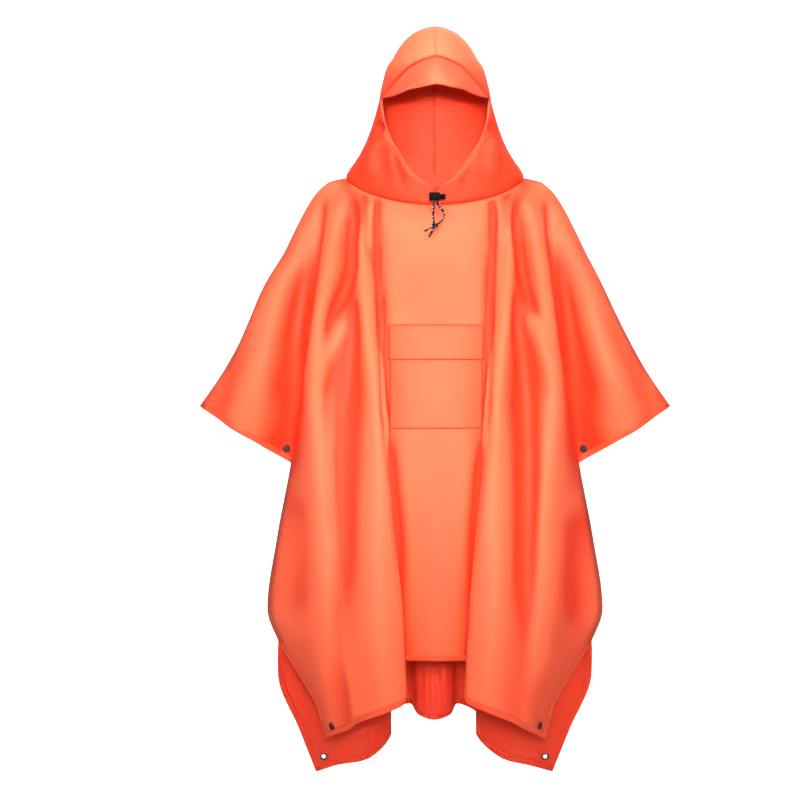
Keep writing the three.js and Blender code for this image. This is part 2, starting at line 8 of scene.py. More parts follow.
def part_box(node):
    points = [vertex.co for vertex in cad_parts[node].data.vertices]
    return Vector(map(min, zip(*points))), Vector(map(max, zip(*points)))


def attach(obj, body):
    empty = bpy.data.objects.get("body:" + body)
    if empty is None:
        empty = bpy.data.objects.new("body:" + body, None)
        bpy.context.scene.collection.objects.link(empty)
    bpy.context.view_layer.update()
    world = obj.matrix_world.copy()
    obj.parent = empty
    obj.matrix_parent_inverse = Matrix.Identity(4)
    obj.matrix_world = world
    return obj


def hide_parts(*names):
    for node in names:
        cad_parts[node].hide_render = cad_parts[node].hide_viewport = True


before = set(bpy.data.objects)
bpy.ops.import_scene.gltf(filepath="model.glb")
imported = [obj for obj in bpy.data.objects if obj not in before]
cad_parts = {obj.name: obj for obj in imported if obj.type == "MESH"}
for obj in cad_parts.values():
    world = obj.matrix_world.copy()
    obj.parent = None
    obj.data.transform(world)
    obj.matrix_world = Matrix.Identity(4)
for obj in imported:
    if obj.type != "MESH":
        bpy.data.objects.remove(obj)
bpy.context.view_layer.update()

# Studio: a plain pale sweep behind and below. Wide soft lights stand in front, on both sides and
# behind, and small ones aim at the chest, the hood and the crown. The camera stands 5 m in front of
# the chest, level with the waist, a little left of the garment's middle, as in the photograph.
mm = 0.001
camera_far = 5.0
photo_mm_per_pixel = 1.95
garment_pixel_x = 435
shoulder_pixel_y = 178
frame_pixels = 800
camera_x = -(garment_pixel_x - frame_pixels / 2) * photo_mm_per_pixel * mm
camera_z = (shoulder_pixel_y - frame_pixels / 2) * photo_mm_per_pixel * mm

film_wide = 36
lens = bpy.data.cameras.new("front_camera")
lens.sensor_width = film_wide
lens.lens = film_wide * camera_far / (frame_pixels * photo_mm_per_pixel * mm)
camera = bpy.data.objects.new("front_camera", lens)
camera.location = (camera_x, -camera_far, camera_z)
camera.rotation_euler = (math.pi / 2, 0, 0)
bpy.context.collection.objects.link(camera)
bpy.context.scene.camera = camera
bpy.context.scene.view_settings.view_transform = "Standard"

world = bpy.data.worlds.new("studio")
bpy.context.scene.world = world
world.use_nodes = True
world.node_tree.nodes["Background"].inputs["Color"].default_value = (1, 1, 1, 1)
world.node_tree.nodes["Background"].inputs["Strength"].default_value = 0.13


def soft_light(name, place, target, size, power, spread=180):
    lamp = bpy.data.lights.new(name, "AREA")
    lamp.shape = "RECTANGLE"
    lamp.size, lamp.size_y = size
    lamp.energy = power
    lamp.spread = math.radians(spread)
    light = bpy.data.objects.new(name, lamp)
    light.location = place
    aim = Vector(target) - Vector(place)
    light.rotation_euler = aim.to_track_quat("-Z", "Y").to_euler()
    bpy.context.collection.objects.link(light)


soft_light("front_softbox", (0, -4.6, 0), (0, 0, -0.46), (1.0, 0.8), 5.8, 18)
soft_light("front_fill", (0, -4.6, 0.1), (0, 0, -0.4), (1.3, 0.8), 42)
soft_light("hood_softbox", (0, -2.6, 0.05), (0, 0, 0.09), (0.2, 0.2), 0.17, 6)
soft_light("high_softbox", (-0.15, -2.3, 1.05), (0, 0, -0.45), (1.1, 1.1), 6)
soft_light("top_softbox", (0, -0.7, 1.9), (0, 0, 0.29), (0.5, 0.5), 2.4, 23)
soft_light("left_softbox", (-3.0, -1.2, 0), (0, 0, -0.5), (1.2, 1.6), 15)
soft_light("right_softbox", (3.0, -1.2, 0), (0, 0, -0.5), (1.2, 1.6), 15)
soft_light("rear_softbox", (0.6, 3.4, 1.6), (0, 0, -0.4), (1.6, 1.6), 30)


def new_piece(name, bm, smooth=True):
    for face in bm.faces:
        face.smooth = smooth
    mesh = bpy.data.meshes.new(name)
    bm.to_mesh(mesh)
    bm.free()
    piece = bpy.data.objects.new(name, mesh)
    bpy.context.collection.objects.link(piece)
    return piece


def fill(node, inputs):
    """Gives each input its value, or joins it to another node's output."""
    for name, given in inputs.items():
        if isinstance(given, bpy.types.NodeSocket):
            node.id_data.links.new(given, node.inputs[name])
        else:
            node.inputs[name].default_value = given
    return node


def new_surface(name):
    """A material, a way to add nodes to it, its shader and the object's coordinates."""
    material = bpy.data.materials.new(name)
    material.use_nodes = True
    nodes = material.node_tree.nodes

    def add(kind, inputs):
        return fill(nodes.new("ShaderNode" + kind), inputs)

    return material, add, nodes["Principled BSDF"], add("TexCoord", {}).outputs["Object"]


def add_tint(add, deep, colour, factor):
    """A colour between two, the first at 0 and the second at 1."""
    tint = add("Mix", {})
    tint.data_type = "RGBA"
    return fill(tint, {"A": (*deep, 1), "B": (*colour, 1), "Factor": factor}).outputs["Result"]


floor_z = -1.5
sweep = bmesh.new()
bmesh.ops.create_grid(sweep, x_segments=1, y_segments=24, size=1)
for vert in sweep.verts:
    run = (vert.co.y + 1) / 2
    turn = max(0.0, run - 0.6) / 0.4
    back = -6 + 14 * min(run, 0.6) / 0.6 + 3 * math.sin(turn * math.pi / 2)
    rise = 3 * (1 - math.cos(turn * math.pi / 2)) + 50 * max(0, turn - 0.9)
    vert.co = (vert.co.x * 14, back, floor_z + rise)
backdrop = new_piece("studio_sweep", sweep)
backdrop.visible_glossy = False
paper, add, paper_shader, place = new_surface("pale_paper")
depth_of = add("SeparateXYZ", {"Vector": place})
far = add("MapRange", {
    "Value": depth_of.outputs["Y"], "From Min": 0.8, "From Max": 2.2, "To Min": 0.1, "To Max": 0.95,
})
fill(paper_shader, {
    "Base Color": (0.93, 0.93, 0.93, 1), "Roughness": 0.9, "Emission Color": (1, 1, 1, 1),
    "Emission Strength": far.outputs["Result"],
})
backdrop.data.materials.append(paper)

# Drawcord: one braided cord of 4 mm in the casing round the face. Its two ends leave the lock at
# the throat, hang over the chest, are tied together in an overhand knot and end as two free tails.
cord_width = 4 * mm
cord_runs = {
    "cord_left": [
        (-3.5, -111, -53.9), (-3.6, -111, -57.5), (-3.8, -111, -61), (-4.0, -111, -65), (-4.2, -111, -69),
        (-4.5, -111.4, -73), (-4.6, -112, -77), (-4.6, -113, -81), (-4.5, -114.6, -85), (-4.2, -116.8, -89),
        (-3.7, -119.4, -93), (-3.0, -122.8, -97.5), (-2, -126.5, -102), (-5.5, -127.2, -104.5),
        (-10, -127.6, -106.5), (-16, -128.3, -109.5), (-19.5, -128.7, -111.2), (-22.8, -129, -113),
    ],
    "cord_right": [
        (3.5, -111, -53.9), (4.0, -111, -57), (5.2, -111, -60.2), (7.0, -111, -63), (9.2, -111, -66.2),
        (11.6, -111.2, -69.6), (13.5, -111.5, -73), (15.0, -112, -76.6), (15.6, -113, -80),
        (15.4, -114.3, -83.6), (14, -116, -87), (11.5, -118, -90.4), (8.5, -120, -93.5),
        (3.6, -123.4, -98), (-2, -126.5, -102), (-3.8, -127.8, -105.7), (-5.5, -129, -109.5),
        (-9.5, -131.3, -116), (-11.4, -132.4, -119.5), (-13.3, -133.5, -123),
    ],
}


def cord_piece(name, points, width):
    line = bpy.data.curves.new(name, "CURVE")
    line.dimensions = "3D"
    line.bevel_depth = width / 2
    line.bevel_resolution = 4
    line.resolution_u = 4
    line.use_fill_caps = True
    spline = line.splines.new("POLY")
    spline.points.add(len(points) - 1)
    for point, place in zip(spline.points, points):
        point.co = (*[c * mm for c in place], 1)
    piece = bpy.data.objects.new(name, line)
    bpy.context.collection.objects.link(piece)
    return piece


def through(points, steps):
    """A smooth run of points through the given ones."""
    made = []
    padded_points = [points[0], *points, points[-1]]
    for k in range(len(points) - 1):
        a, b, c, d = [Vector(p) for p in padded_points[k:k + 4]]
        for n in range(steps):
            t = n / steps
            bend = 2 * a - 5 * b + 4 * c - d + t * (3 * (b - c) + d - a)
            made.append(tuple(b + 0.5 * t * (c - a + t * bend)))
    made.append(tuple(points[-1]))
    return made


braid, add, braid_shader, place = new_surface("braided_cord")
strands = add("TexWave", {"Vector": place, "Scale": 420, "Distortion": 1.5})
strands.bands_direction = "DIAGONAL"
flecks = add("TexVoronoi", {"Vector": place, "Scale": 210})
fleck_edge = add("ValToRGB", {"Fac": flecks.outputs["Distance"]})
for stop, position, shade in zip(
    fleck_edge.color_ramp.elements, (0.24, 0.32), ((0.62, 0.62, 0.66, 1), (0.0015, 0.001, 0.002, 1)),
):
    stop.position, stop.color = position, shade
relief = add("Bump", {"Height": strands.outputs["Fac"], "Strength": 0.6, "Distance": 0.4 * mm})
fill(braid_shader, {
    "Roughness": 0.72, "Specular IOR Level": 0.2, "Base Color": fleck_edge.outputs["Color"],
    "Normal": relief.outputs["Normal"],
})

knot_turns = []
for step in range(41):
    angle = step / 40 * 2 * math.pi * 1.75
    knot_turns.append((
        -2 + 4.4 * math.cos(angle),
        -126.5 + 2.6 * math.sin(angle) + 1.2 * math.cos(angle * 0.5),
        -102 + 3.4 * math.sin(angle * 0.57) + 1.4 * math.sin(angle),
    ))
knot = cord_piece("cord_knot", knot_turns, cord_width)
knot.data.materials.append(braid)
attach(knot, "root")
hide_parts("drawcord_knot")

for name, cad_nodes in (
    ("cord_left", ("drawcord_left", "drawcord_tail_left")),
    ("cord_right", ("drawcord_right", "drawcord_tail_right")),
):
    run = through(cord_runs[name], 3)
    cord = cord_piece(name, run, cord_width)
    cord.data.materials.append(braid)
    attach(cord, "root")
    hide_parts(*cad_nodes)

# Front panel: one cut of coated polyester with both sleeve fronts. It hangs from the neck seam and
# the shoulder line in two big rolled folds beside a flat middle, and its edges are hemmed twice.
neck_half, neck_fore, neck_aft, neck_dip, nape_rise = 174, 95, 78, 60, 12
seam_gap = 0.3
tip_out, tip_down = 459, -445
sleeve_out, sleeve_down = 281, -555
sleeve_depth = 62
parting = -901
levels = [-150, -310, -430, -555, -700, -899, -1000]

# Each fold: share of the neck's quarter turn, wider on the left, distances out, depths, hem point
front_folds = {
    "centre": (0, 0, [0, 0, 0, 0, 0, 0], [138, 156, 163, 160, 152, 142], (0, 140, -928)),
    "flat": (0.24, 0, [60, 60, 58, 54, 46, 36], [134, 152, 158, 155, 146, 134], (33, 132, -928)),
    "root": (0.45, 2, [115, 117, 111, 102, 90, 78], [121, 136, 138, 134, 124, 108], (73, 104, -936)),
    "lip": (0.5, 2, [110, 98, 91, 80, 67, 58], [130, 162, 178, 184, 188, 190], (54, 192, -998)),
    "first pipe": (0.6, -3, [139, 128, 115, 111, 109, 102], [139, 180, 198, 206, 210, 214], (95, 212, -1017)),
    "long valley": (
        0.68, 4, [148, 159, 168, 174, 170, 162], [131, 147, 155, 161, 172, 186], (143, 188, -1038),
    ),
    "slanting valley": (
        0.76, -4, [161, 202, 208, 207, 201, 190, 175], [110, 146, 158, 166, 172, 176, 172], (170, 168, -1055),
    ),
    "second pipe": (
        1.12, 3, [196, 223, 227, 229, 229, 220, 205], [112, 140, 150, 152, 150, 140, 132], (192, 128, -1069),
    ),
}
# The line between body and sleeve, then the side edge: height, distance out, depth
shoulder_drop = 8
body_line = [
    (-shoulder_drop, 207, 0), (-150, 228, 74), (-310, 250, 72), (-430, 264, 48), (sleeve_down, sleeve_out, 0),
    (-700, 308, 0), (-840, 327, 0), (parting, 306, 0),
]
front_corner = [(-970, 261, 45), (-1021, 228, 84), (-1080, 210, 108)]
shoulder_fold = [
    (0, 207, -shoulder_drop), (0.1, 230, -28), (0.45, 312, -183), (0.85, 408, -370), (1, tip_out, tip_down),
]


def smooth(knots, values, at):
    """A smooth line through knots that never overshoots them."""
    last = len(knots) - 1
    turn = 1 if knots[last] > knots[0] else -1
    if (at - knots[0]) * turn <= 0:
        return values[0]
    if (at - knots[last]) * turn >= 0:
        return values[last]
    k = 0
    while (knots[k + 1] - at) * turn < 0:
        k += 1

    def slope(i):
        return (values[i + 1] - values[i]) / (knots[i + 1] - knots[i])

    def tangent(i):
        if i == 0:
            return slope(0)
        if i == last:
            return slope(last - 1)
        before, after = slope(i - 1), slope(i)
        return 0 if before * after <= 0 else 2 * before * after / (before + after)

    span = knots[k + 1] - knots[k]
    t = (at - knots[k]) / span
    h = (1 - t) * (1 - t)
    return (h * (1 + 2 * t) * values[k] + h * t * span * tangent(k)
            + t * t * (3 - 2 * t) * values[k + 1] - t * t * (1 - t) * span * tangent(k + 1))


def column(rows, at, place):
    return smooth([row[0] for row in rows], [row[place] for row in rows], at)


def ease(value, low, high):
    t = min(max((value - low) / (high - low), 0), 1)
    return t * t * (3 - 2 * t)


def neck_point(turn, face):
    angle = turn * math.pi / 2
    level = max(math.cos(angle), 0)
    z = -neck_dip * level ** 1.3 if face < 0 else nape_rise * level ** 1.3
    depth = neck_fore if face < 0 else neck_aft
    return Vector((neck_half * math.sin(angle), face * max(seam_gap / 2, depth * level), z))


def between(a, b, c, d, t):
    """A centripetal curve from b to c."""
    gaps = [max((q - p).length, 1e-6) ** 0.5 for p, q in ((a, b), (b, c), (c, d))]
    leave = ((b - a) / gaps[0] - (c - a) / (gaps[0] + gaps[1]) + (c - b) / gaps[1]) * gaps[1]
    arrive = ((c - b) / gaps[1] - (d - b) / (gaps[1] + gaps[2]) + (d - c) / gaps[2]) * gaps[1]
    return b + t * (leave + t * (3 * (c - b) - 2 * leave - arrive + t * (2 * (b - c) + leave + arrive)))


class Panel:
    """The form of one body panel. face is -1 in front and 1 behind."""

    def __init__(self, folds, corner, face):
        self.folds = list(folds.values())
        self.corner = corner
        self.side_rows = body_line + corner
        self.face = face
        self.last = len(self.folds)

    def top_at(self, turn):
        if turn <= 1:
            return neck_point(turn, self.face)
        out = neck_half + (body_line[0][1] - neck_half) * (turn - 1)
        return Vector((out, self.face * seam_gap / 2, -shoulder_drop * (turn - 1)))

    def turn_of(self, v):
        k = min(int(v), self.last - 1)
        here = self.folds[k][0]
        there = self.folds[k + 1][0] if k + 1 < self.last else 2
        return here + (there - here) * (v - k)

    def top_of(self, k):
        return self.top_at(2 if k == self.last else self.folds[k][0])

    def hem_of(self, k):
        return self.corner[-1][0] if k == self.last else self.folds[k][4][2]

    def fold_at(self, k, side, z):
        if k == self.last:
            depth = max(seam_gap / 2, column(self.side_rows, z, 2))
            return Vector((side * column(self.side_rows, z, 1), self.face * depth, z))
        _, wider, outs, depths, hem = self.folds[k]
        top = self.top_of(k)
        knots = [top.z, *levels[:len(outs)], hem[2]]
        share = ease(-z, 60, 320) * wider if side < 0 else 0
        out = smooth(knots, [top.x, *outs, hem[0]], z) + share
        depth = smooth(knots, [abs(top.y), *depths, hem[1]], z) + share
        return Vector((side * out, self.face * max(seam_gap / 2, depth), z))

    def row_height(self, k, row):
        """Rows run 0 to 1 to the sleeve's bottom, to 2 at the side's parting and to 3 at the hem."""
        stops = [self.top_of(k).z, sleeve_down, parting + 90 * (1 - k / self.last), self.hem_of(k)]
        part = min(int(row), 2)
        return stops[part] + (stops[part + 1] - stops[part]) * (row - part)

    def row(self, row):
        """Every fold's place on one row, from the left side to the right one."""
        left = [self.fold_at(k, -1, self.row_height(k, row)) for k in range(self.last, 0, -1)]
        right = [self.fold_at(k, 1, self.row_height(k, row)) for k in range(self.last + 1)]
        return left + right

    def across(self, places, v):
        k = min(int(v + self.last), 2 * self.last - 1)
        t = v + self.last - k
        before = places[k - 1] if k > 0 else 2 * places[0] - places[1]
        after = places[k + 2] if k + 2 < len(places) else 2 * places[k + 1] - places[k]
        return between(before, places[k], places[k + 1], after, t)

    def at(self, x, z):
        """The face at a place given by x and z, near the middle."""
        side = -1 if x < 0 else 1
        places = [self.fold_at(abs(k), -1 if k < 0 else 1, z) for k in range(-3, 4)]
        low, high = 0, 2
        for _ in range(24):
            middle = (low + high) / 2
            v = side * middle
            k = math.floor(v) + 3
            point = between(*places[k - 1:k + 3], v - math.floor(v))
            if abs(point.x) < abs(x):
                low = middle
            else:
                high = middle
        return point


def lay_grid(bm, columns, rows, place, flip):
    """A grid whose points go where place(share across, share down) says."""
    made = bmesh.ops.create_grid(bm, x_segments=columns, y_segments=rows, size=1)["verts"]
    for vert in made:
        across = round((vert.co.x + 1) / 2 * columns)
        down = round((1 - vert.co.y) / 2 * rows)
        vert.co = place(across, down) * mm
    if flip:
        faces = {face for vert in made for face in vert.link_faces}
        bmesh.ops.reverse_faces(bm, faces=list(faces))
    return made


fold_steps = 7
sleeve_columns = 34
neck_rows = [0, 0.004, 0.008, 0.014, 0.024, 0.04]
body_rows = [
    *neck_rows, *[0.06 + 0.94 * n / 36 for n in range(36)],
    *[1 + n / 26 for n in range(26)], *[2 + n / 20 for n in range(21)],
]
sleeve_rows = body_rows.index(1)
seam_tuck = 1.4


def tucked(point, distance, share):
    """The cloth dips a little to the neck seam."""
    radial = Vector((point.x, point.y, 0)).normalized()
    return point - radial * seam_tuck * share * math.exp(-(distance / 5) ** 2)


def panel_point(panel, places, v, row):
    turn = panel.turn_of(abs(v))
    if row == 0:
        point = panel.top_at(turn)
        if v < 0:
            point.x = -point.x
    else:
        point = panel.across(places, v)
    distance = abs(panel.top_at(turn).z - point.z)
    return tucked(point, distance, 1 - ease(turn, 0.98, 1.1))


def sleeve_place(side, face, line, u, r):
    """A point of a sleeve: u runs from the body line to the tip, r from the shoulder to the hem."""
    w = body_rows[r]
    above = Vector((side * column(shoulder_fold, u, 1), 0, column(shoulder_fold, u, 2)))
    below_out = sleeve_out + (tip_out - sleeve_out) * u
    below = Vector((side * below_out, 0, sleeve_down + (tip_down - sleeve_down) * u))
    chord = line[0].lerp(line[-1], w)
    point = above.lerp(below, w) + (line[r] - chord) * (1 - u)
    billow = sleeve_depth * math.sin(math.pi * u ** 0.8) * ease(u, -0.1, 0.4)
    depth = abs(line[r].y) * (1 - u) ** 1.2 + billow * math.sqrt(max(0, 1 - (1 - w) ** 2.2))
    point.y = face * max(seam_gap / 2, depth)
    return point


def crease_height(creases, x, z):
    """How far the soft ridges (+) and troughs (-) move the cloth at a place."""
    total = 0
    for height, width, line in creases:
        nearest, along = 1e9, 0
        for n, ((ax, az), (bx, bz)) in enumerate(zip(line, line[1:])):
            run_x, run_z = bx - ax, bz - az
            t = ((x - ax) * run_x + (z - az) * run_z) / (run_x ** 2 + run_z ** 2)
            t = min(max(t, 0), 1)
            gap = math.hypot(x - ax - t * run_x, z - az - t * run_z)
            if gap < nearest:
                nearest, along = gap, (n + t) / (len(line) - 1)
        if nearest < 3 * width:
            ends = ease(along, 0, 0.2) * ease(1 - along, 0, 0.3)
            total += height * math.exp(-(nearest / width) ** 2) * ends
    return total


def paint_fold_shade(bm, level):
    """Writes how far each point stands out of (+) or lies in (-) its folds as painted shade and light for the
    cloth's colour: painted shade in hollows, weaker painted light on crests, shifted by level.
    """
    fold = bm.verts.layers.float.new("fold")
    bm.normal_update()
    before = [(vert.co.copy(), vert.normal.copy()) for vert in bm.verts]
    for rounds, full in ((10, 3), (60, 7)):
        for _ in range(rounds):
            bmesh.ops.smooth_vert(
                bm, verts=bm.verts, factor=0.5, use_axis_x=True, use_axis_y=True, use_axis_z=True,
            )
        for vert, (place, normal) in zip(bm.verts, before):
            vert[fold] += (place - vert.co).dot(normal) / (full * mm)
    for vert, (place, _) in zip(bm.verts, before):
        out = vert[fold] * (0.7 if vert[fold] > 0 else 1)
        vert[fold] = min(max(out + level(*place / mm), -1), 1)
        vert.co = place
    bm.normal_update()


def off_neck(point):
    """0 on the neck seam, 1 from 12 mm away."""
    turn = math.asin(min(abs(point.x) / neck_half, 1)) * 2 / math.pi
    ring = neck_point(turn, -1 if point.y < 0 else 1)
    return ease((Vector((abs(point.x), point.y, point.z)) - ring).length, 0, 12)


def press_creases(bm, fore_creases, aft_creases, calm, level=lambda x, y, z: 0):
    """Moves the cloth along its own outward direction, with a slight unevenness everywhere."""
    bm.normal_update()
    moves = []
    for vert in bm.verts:
        x, y, z = vert.co / mm
        amount = crease_height(fore_creases if y < 0 else aft_creases, x, z)
        amount += 1.3 * noise.noise(Vector((x / 60, 7 if y < 0 else -5, z / 150)))
        free = ease(abs(y), 1, 22) * calm(x, z) * off_neck(vert.co / mm)
        moves.append(vert.normal * amount * free * mm)
    for vert, move in zip(bm.verts, moves):
        vert.co += move
    # Paints shade into the hollows and light onto the crests, shifted by level.
    paint_fold_shade(bm, level)


def panel_mesh(panel, creases, calm):
    """The body of a panel as one grid with its two sleeves sewn on."""
    face = panel.face
    bm = bmesh.new()
    places = [panel.row(row) for row in body_rows]
    columns = 2 * panel.last * fold_steps

    def body(c, r):
        return panel_point(panel, places[r], c / fold_steps - panel.last, body_rows[r])

    lay_grid(bm, columns, len(body_rows) - 1, body, face > 0)
    for side in (-1, 1):
        line = [body(0 if side < 0 else columns, r) for r in range(sleeve_rows + 1)]
        lay_grid(
            bm, sleeve_columns, sleeve_rows,
            lambda c, r: sleeve_place(side, face, line, c / sleeve_columns, r),
            side * face > 0,
        )
    bmesh.ops.remove_doubles(bm, verts=bm.verts, dist=0.02 * mm)
    valley = [
        v for v in bm.verts
        if abs(v.co.y) > 3 * mm and -540 < v.co.z / mm < -12
        and abs(abs(v.co.x / mm) - column(body_line, v.co.z / mm, 1)) < 22
    ]
    for _ in range(5):
        bmesh.ops.smooth_vert(bm, verts=valley, factor=0.5, use_axis_y=True)
    press_creases(bm, creases, creases, calm)
    return bm


def edge_paths(panel):
    """The open edges of a panel, each as a list of (point on the edge, point a hem's width inside)."""
    face, last = panel.face, panel.last
    width = hem_wide

    def at(v, row):
        return panel_point(panel, panel.row(row), v, row)

    def inside(edge, further):
        return edge, edge + (further - edge).normalized() * width

    steps = 2 * last * 5
    paths = [[inside(at(v, 3), at(v, 2.9)) for v in [n / 5 - last for n in range(steps + 1)]]]
    for side in (-1, 1):
        rows = [2.04 + 0.96 * n / 20 for n in range(21)]
        paths.append([inside(at(side * last, row), at(side * (last - 0.2), row)) for row in rows])
        line = [at(side * last, row) for row in body_rows[:sleeve_rows + 1]]
        across_tip = [n / 24 * 0.97 for n in range(25)]
        paths.append([
            inside(*[sleeve_place(side, face, line, u, r) for r in (sleeve_rows, sleeve_rows - 2)])
            for u in across_tip
        ])
    return paths


def turn_outwards(bm, skin):
    bm.normal_update()
    wrong = [f for f in bm.faces if f.normal.dot(skin.find_nearest(f.calc_center_median())[1]) < 0]
    bmesh.ops.reverse_faces(bm, faces=wrong)


def lay_band(bm, skin, path, swell):
    """A strip of turned-in cloth that lies on a skin from its edge inwards."""
    rows = 5

    def on_band(c, r):
        edge, inner = path[c]
        near, normal, _, _ = skin.find_nearest(inner.lerp(edge, r / rows) * mm)
        beyond = (edge - inner).normalized() * (0.35 if r == rows else 0)
        return near / mm + beyond + normal * (0.35 + swell * math.sin(math.pi * r / rows))

    lay_grid(bm, len(path) - 1, rows, on_band, False)


def sew(bm, skin, path, rise, pitch=3.6):
    """A row of short stitches along a path, lying on a skin."""
    left = pitch / 2
    for a, b in zip(path, path[1:]):
        run = (b - a).length
        at = left
        while at < run:
            near, normal, _, _ = skin.find_nearest(a.lerp(b, at / run) * mm)
            turn = (b - a).to_track_quat("Z", "Y").to_matrix().to_4x4()
            bmesh.ops.create_cone(
                bm, cap_ends=True, segments=5, radius1=0.36 * mm, radius2=0.36 * mm, depth=2.6 * mm,
                matrix=Matrix.Translation(near + normal * rise * mm) @ turn,
            )
            at += pitch
        left = at - run


def punch(bm, centre, radius):
    """A hole for an eyelet, cut in finer faces."""
    near = [f for f in bm.faces if (f.calc_center_median() - centre).length < 16 * mm]
    bmesh.ops.subdivide_edges(bm, edges=list({e for f in near for e in f.edges}), cuts=6, use_grid_fill=True)
    gone = [f for f in bm.faces if (f.calc_center_median() - centre).length < radius * mm]
    bmesh.ops.delete(bm, geom=gone, context="FACES")


def add_cloth_wall(piece, thick):
    wall = piece.modifiers.new("cloth wall", "SOLIDIFY")
    wall.thickness = thick
    wall.offset = -1
    wall.use_rim = True
    wall.material_offset = 1


def coated_cloth(name, colour, deep):
    """Plain-woven polyester with a thin coat: fine grain, soft satin gloss, faint puckers, and a colour
    painted from shade to light by the fold attribute.
    """
    cloth, add, shader, place = new_surface(name)
    patches = add("TexNoise", {"Vector": place, "Scale": 5, "Detail": 3}).outputs["Fac"]
    faint = add("MapRange", {"Value": patches, "To Min": 0.38, "To Max": 0.62})
    # Painted shade and light: the fold attribute, plus faint random patches of tone, sets the mix from the
    # deep colour to the light one.
    fold = add("Attribute", {})
    fold.attribute_name = "fold"
    depth = add("Math", {})
    depth.operation = "MULTIPLY_ADD"
    depth.use_clamp = True
    fill(depth, {0: fold.outputs["Fac"], 1: 0.6, 2: faint.outputs["Result"]})
    gloss = add("MapRange", {"Value": patches, "To Min": 0.5, "To Max": 0.6})
    grain = add("TexNoise", {"Vector": place, "Scale": 700, "Detail": 2})
    upright = add("Mapping", {"Vector": place, "Scale": (1, 1, 0.35)})
    pucker = add("TexNoise", {"Vector": upright.outputs["Vector"], "Scale": 38, "Detail": 2})
    soft = add("Bump", {"Height": pucker.outputs["Fac"], "Strength": 0.25, "Distance": 2 * mm})
    fine = add("Bump", {
        "Height": grain.outputs["Fac"], "Strength": 0.12, "Distance": 0.3 * mm,
        "Normal": soft.outputs["Normal"],
    })
    fill(shader, {
        "Specular IOR Level": 0.28, "Specular Tint": (1, 0.72, 0.5, 1),
        "Base Color": add_tint(add, deep, colour, depth.outputs["Value"]),
        "Roughness": gloss.outputs["Result"], "Normal": fine.outputs["Normal"],
    })
    return cloth


# Light colour, then deep colour: painted light on crests and painted shade in hollows and along seams; the
# cloth's own orange lies between.
orange_cloth = coated_cloth("orange_coated_cloth", (0.93, 0.128, 0.055), (0.76, 0.036, 0.012))
# The uncoated inner side of the cloth, coloured deeper and redder than the face, partly as painted shade of
# the garment's inside.
inner_cloth = coated_cloth("orange_cloth_inner_side", (0.85, 0.052, 0.023), (0.82, 0.042, 0.018))
orange_thread, add, thread_shader, place = new_surface("orange_thread")
twist = add("TexNoise", {"Vector": place, "Scale": 900}).outputs["Fac"]
thread_tint = add_tint(add, (0.80, 0.07, 0.025), (0.86, 0.12, 0.045), twist)
fill(thread_shader, {"Roughness": 0.6, "Base Color": thread_tint})
cloth_wall = 0.6 * mm
hem_wide = 12
hem_wall = 1.3 * mm


def cloth_piece(name, bm, thick, stands_for=()):
    piece = new_piece(name, bm)
    piece.data.materials.append(orange_cloth)
    piece.data.materials.append(inner_cloth)
    add_cloth_wall(piece, thick)
    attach(piece, "root")
    if stands_for:
        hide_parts(*stands_for)
    return piece


def thread_piece(name, bm):
    piece = new_piece(name, bm)
    piece.data.materials.append(orange_thread)
    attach(piece, "root")
    return piece


def hem_and_stitches(name, panel, skin):
    """The double-turned hem on every open edge, its row of stitches, and the row below the neck."""
    hems, stitches = bmesh.new(), bmesh.new()
    for path in edge_paths(panel):
        lay_band(hems, skin, path, 0.25)
        sew(stitches, skin, [edge.lerp(inner, 0.82) for edge, inner in path], 0.65)
    turn_outwards(hems, skin)
    shut = [v for v in [n / 6 - panel.last for n in range(12 * panel.last + 1)] if panel.turn_of(abs(v)) < 1]
    neck = [panel_point(panel, panel.row(0.012), v, 0.012) for v in shut]
    sew(stitches, skin, neck, 0.25)
    return cloth_piece(name + "_hem", hems, hem_wall), thread_piece(name + "_stitches", stitches)


